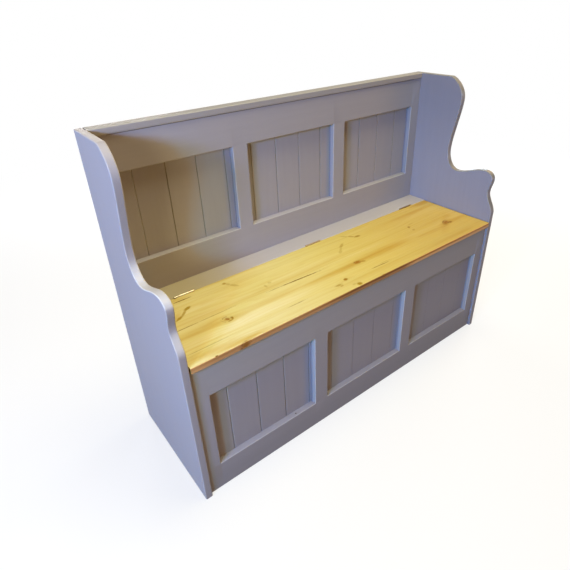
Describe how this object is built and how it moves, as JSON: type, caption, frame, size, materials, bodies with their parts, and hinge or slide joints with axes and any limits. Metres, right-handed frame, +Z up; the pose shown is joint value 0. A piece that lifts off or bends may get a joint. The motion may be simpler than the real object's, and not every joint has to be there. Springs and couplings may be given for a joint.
{
  "type": "settle bench",
  "caption": "Settle bench with shaped ends, a tall panelled matchboard back, and a storage box under a hinged pine lid that is the seat.",
  "frame": {"origin": "on the floor, in the middle of the length and of the depth over the lid", "axes": "+X along the length towards the right end as a sitter's visitor sees it, +Y towards the back, +Z up"},
  "size_m": [1.2, 0.386, 0.908],
  "materials": {
    "painted_wood": "lavender grey paint, satin, worn at the arrises",
    "painted_boards": "lavender grey paint, satin",
    "rail_paint": "warm grey paint, satin",
    "waxed_pine": "waxed knotty pine",
    "bare_pine": "bare planed pine",
    "hinge_metal": "dull brassed metal"
  },
  "bodies": {
    "carcass": {"left_end": "painted_wood", "right_end": "painted_wood", "back_cap": "painted_wood", "back_left_stile": "painted_wood", "back_right_stile": "painted_wood", "back_top_rail": "painted_wood", "back_bottom_rail": "painted_wood", "back_left_muntin": "painted_wood", "back_right_muntin": "painted_wood", "back_board_01": "painted_boards", "back_board_02": "painted_boards", "back_board_03": "painted_boards", "back_board_04": "painted_boards", "back_board_05": "painted_boards", "back_board_06": "painted_boards", "back_board_07": "painted_boards", "back_board_08": "painted_boards", "back_board_09": "painted_boards", "back_board_10": "painted_boards", "back_board_11": "painted_boards", "back_board_12": "painted_boards", "back_board_13": "painted_boards", "front_left_stile": "painted_wood", "front_right_stile": "painted_wood", "front_top_rail": "painted_wood", "front_bottom_rail": "painted_wood", "front_left_muntin": "painted_wood", "front_right_muntin": "painted_wood", "front_board_01": "painted_boards", "front_board_02": "painted_boards", "front_board_03": "painted_boards", "front_board_04": "painted_boards", "front_board_05": "painted_boards", "front_board_06": "painted_boards", "front_board_07": "painted_boards", "front_board_08": "painted_boards", "front_board_09": "painted_boards", "front_board_10": "painted_boards", "front_board_11": "painted_boards", "front_board_12": "painted_boards", "front_board_13": "painted_boards", "seat_rail": "rail_paint", "box_floor": "bare_pine", "floor_bearer_back": "bare_pine", "floor_bearer_front": "bare_pine", "hinge_left_fixed_leaf": "hinge_metal", "hinge_middle_fixed_leaf": "hinge_metal", "hinge_right_fixed_leaf": "hinge_metal", "hinge_left_pin": "hinge_metal", "hinge_middle_pin": "hinge_metal", "hinge_right_pin": "hinge_metal"},
    "lid": {"lid_plank_rear": "waxed_pine", "lid_plank_inner_rear": "waxed_pine", "lid_plank_inner_front": "waxed_pine", "lid_plank_front": "waxed_pine", "lid_batten_left": "waxed_pine", "lid_batten_right": "waxed_pine", "hinge_left_moving_leaf": "hinge_metal", "hinge_middle_moving_leaf": "hinge_metal", "hinge_right_moving_leaf": "hinge_metal"}
  },
  "joints": [
    {"name": "lid_hinge", "type": "hinge", "parent": "carcass", "child": "lid", "pos_m": [0, 0.0915, 0.451], "axis": [-1, 0, 0], "range_deg": [0, 104]}
  ]
}
